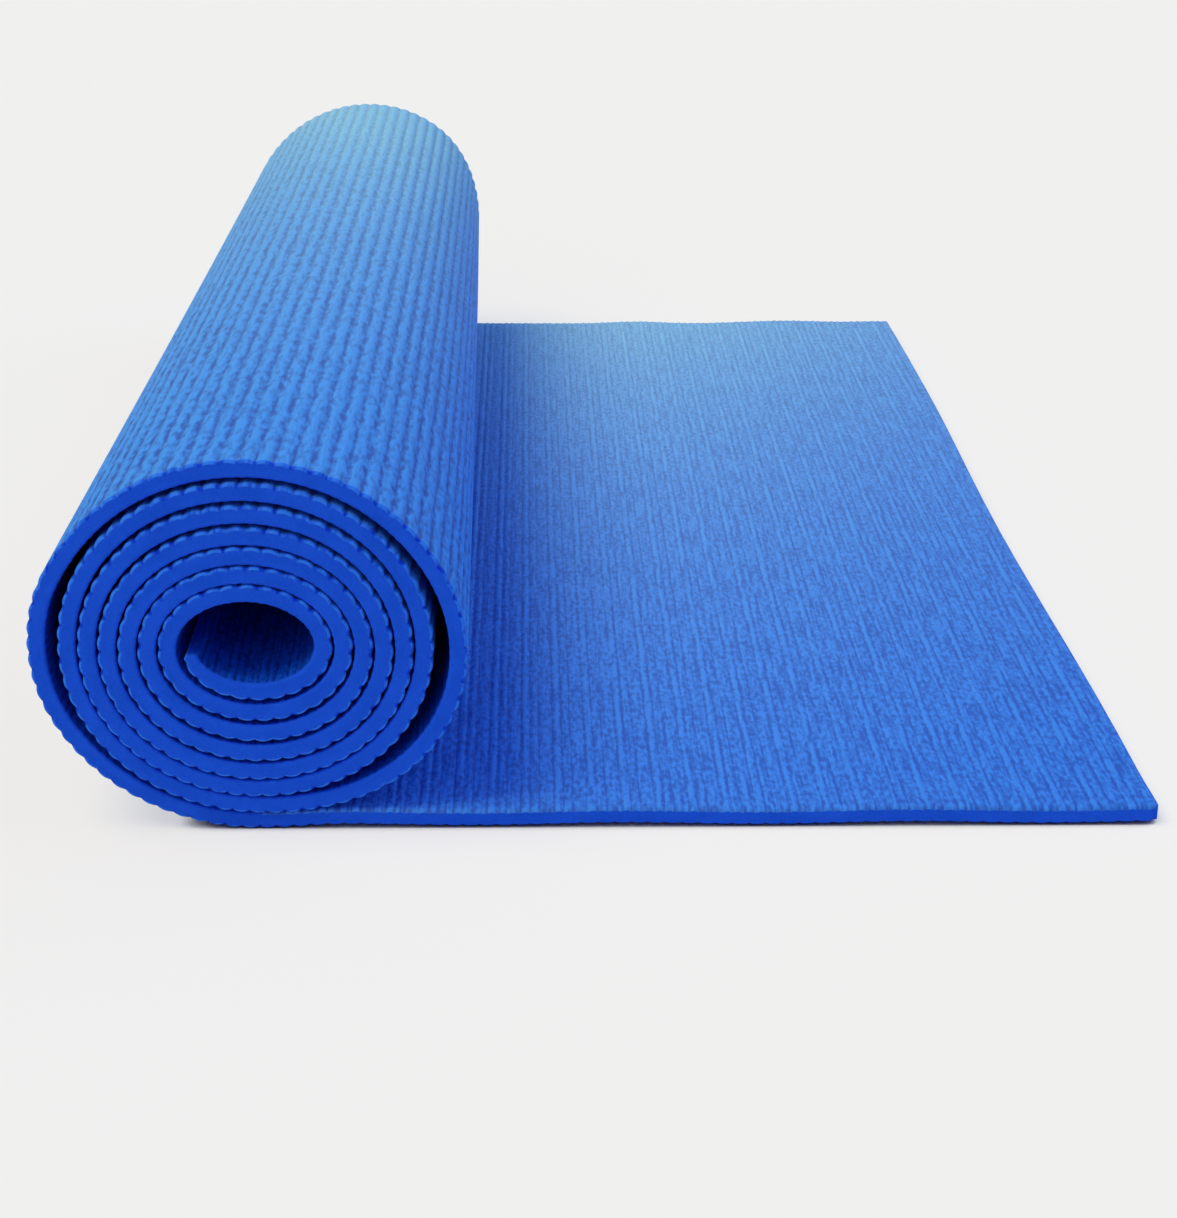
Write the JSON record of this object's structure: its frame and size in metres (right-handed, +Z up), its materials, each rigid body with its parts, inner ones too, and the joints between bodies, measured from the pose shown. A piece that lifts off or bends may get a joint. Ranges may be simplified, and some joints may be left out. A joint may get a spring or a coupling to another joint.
{
  "type": "yoga mat",
  "caption": "Ribbed foam exercise mat, wound into a spiral roll with a flat stretch that bends up and winds round the roll.",
  "frame": {"origin": "middle of the mat's footprint, on the floor", "axes": "+X across the roll, towards the free end of the flat stretch; +Y along the roll, over the mat's width, away from the near end; +Z up"},
  "size_m": [0.3548, 0.61, 0.1239],
  "materials": {
    "top_foam": "matt foam with fine crosswise lines",
    "scrim": "thin open weave",
    "bottom_foam": "matt foam with coarse crosswise ribs"
  },
  "bodies": {
    "roll": {"roll_top_foam": "top_foam", "roll_scrim": "scrim", "roll_bottom_foam": "bottom_foam"},
    "strip_1": {"strip_1_top_foam": "top_foam", "strip_1_scrim": "scrim", "strip_1_bottom_foam": "bottom_foam"},
    "strip_2": {"strip_2_top_foam": "top_foam", "strip_2_scrim": "scrim", "strip_2_bottom_foam": "bottom_foam"},
    "strip_3": {"strip_3_top_foam": "top_foam", "strip_3_scrim": "scrim", "strip_3_bottom_foam": "bottom_foam"},
    "strip_4": {"strip_4_top_foam": "top_foam", "strip_4_scrim": "scrim", "strip_4_bottom_foam": "bottom_foam"},
    "strip_5": {"strip_5_top_foam": "top_foam", "strip_5_scrim": "scrim", "strip_5_bottom_foam": "bottom_foam"},
    "strip_6": {"strip_6_top_foam": "top_foam", "strip_6_scrim": "scrim", "strip_6_bottom_foam": "bottom_foam"},
    "strip_7": {"strip_7_top_foam": "top_foam", "strip_7_scrim": "scrim", "strip_7_bottom_foam": "bottom_foam"},
    "strip_8": {"strip_8_top_foam": "top_foam", "strip_8_scrim": "scrim", "strip_8_bottom_foam": "bottom_foam"},
    "strip_9": {"strip_9_top_foam": "top_foam", "strip_9_scrim": "scrim", "strip_9_bottom_foam": "bottom_foam"}
  },
  "joints": [
    {"name": "strip_1_bend", "type": "hinge", "parent": "roll", "child": "strip_1", "pos_m": [-0.09248, 0, 0.0058], "axis": [0, -1, 0], "range_deg": [0, 18]},
    {"name": "strip_2_bend", "type": "hinge", "parent": "strip_1", "child": "strip_2", "pos_m": [-0.06248, 0, 0.0058], "axis": [0, -1, 0], "range_deg": [0, 30]},
    {"name": "strip_3_bend", "type": "hinge", "parent": "strip_2", "child": "strip_3", "pos_m": [-0.03248, 0, 0.0058], "axis": [0, -1, 0], "range_deg": [0, 33]},
    {"name": "strip_4_bend", "type": "hinge", "parent": "strip_3", "child": "strip_4", "pos_m": [-0.00248, 0, 0.0058], "axis": [0, -1, 0], "range_deg": [0, 29]},
    {"name": "strip_5_bend", "type": "hinge", "parent": "strip_4", "child": "strip_5", "pos_m": [0.02752, 0, 0.0058], "axis": [0, -1, 0], "range_deg": [0, 26]},
    {"name": "strip_6_bend", "type": "hinge", "parent": "strip_5", "child": "strip_6", "pos_m": [0.05752, 0, 0.0058], "axis": [0, -1, 0], "range_deg": [0, 24]},
    {"name": "strip_7_bend", "type": "hinge", "parent": "strip_6", "child": "strip_7", "pos_m": [0.08752, 0, 0.0058], "axis": [0, -1, 0], "range_deg": [0, 24]},
    {"name": "strip_8_bend", "type": "hinge", "parent": "strip_7", "child": "strip_8", "pos_m": [0.11752, 0, 0.0058], "axis": [0, -1, 0], "range_deg": [0, 23]},
    {"name": "strip_9_bend", "type": "hinge", "parent": "strip_8", "child": "strip_9", "pos_m": [0.14752, 0, 0.0058], "axis": [0, -1, 0], "range_deg": [0, 25]}
  ]
}
